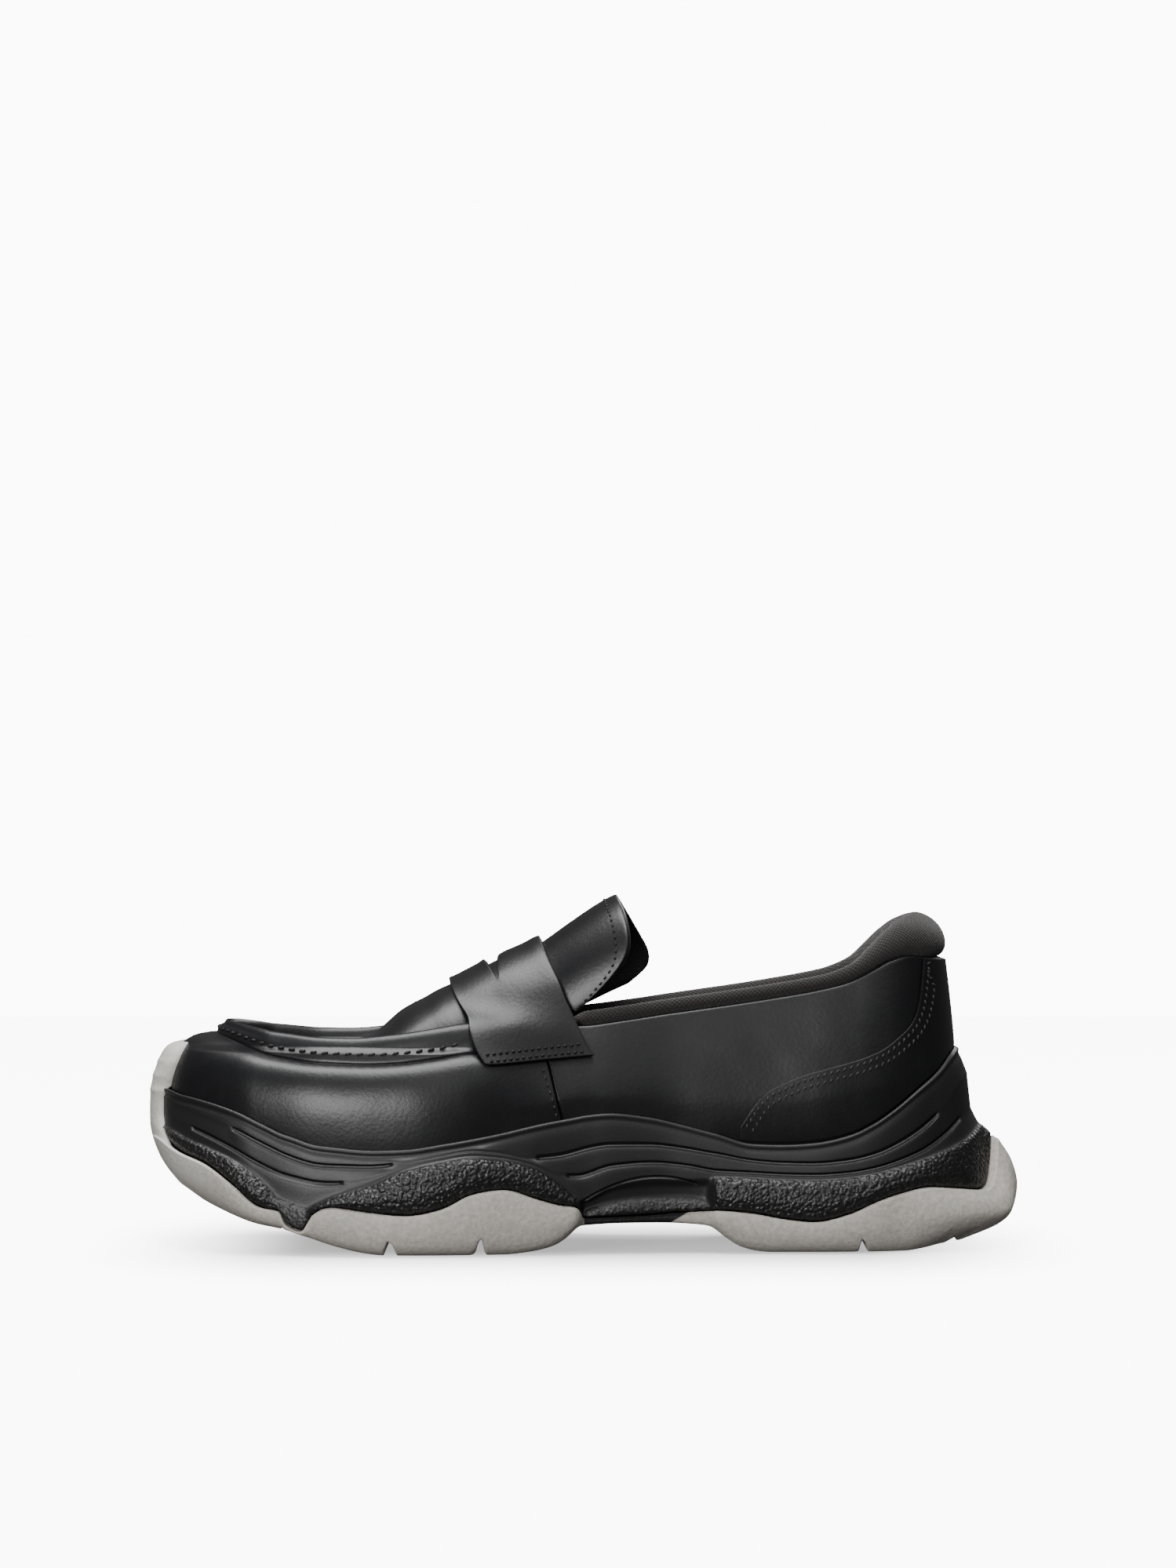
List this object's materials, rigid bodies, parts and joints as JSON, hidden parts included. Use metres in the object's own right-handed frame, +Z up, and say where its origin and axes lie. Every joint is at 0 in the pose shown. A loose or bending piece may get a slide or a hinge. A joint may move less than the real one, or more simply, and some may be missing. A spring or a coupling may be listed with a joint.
{
  "type": "chunky lug sole loafer",
  "caption": "Empty left slip-on loafer with a stitched apron, slotted strap, raised tongue and padded collar on a thick sculpted midsole and lugged rubber outsole.",
  "frame": {"origin": "centre of the bounding box at the ground, under the middle of the sole", "axes": "-X towards the toe, +X towards the heel, -Y towards the outer side of the left foot, +Z up; the forefoot and heel flats of the sole lie at z = 0"},
  "size_m": [0.312, 0.1178, 0.1259],
  "materials": {
    "outsole": "matt grey moulded rubber",
    "midsole": "satin black moulded foam, fine pebble on the lower pods",
    "insole": "dark cloth",
    "upper": "smooth black leather, soft gloss",
    "counter": "smooth black leather, soft gloss",
    "strap": "smooth black leather, soft gloss",
    "tongue": "smooth black leather with a dark lining",
    "collar": "dark woven lining over soft padding"
  },
  "bodies": {
    "root": {"outsole": "outsole", "midsole": "midsole", "insole": "insole", "upper": "upper", "counter": "counter", "strap": "strap", "tongue": "tongue", "collar": "collar"}
  },
  "joints": []
}
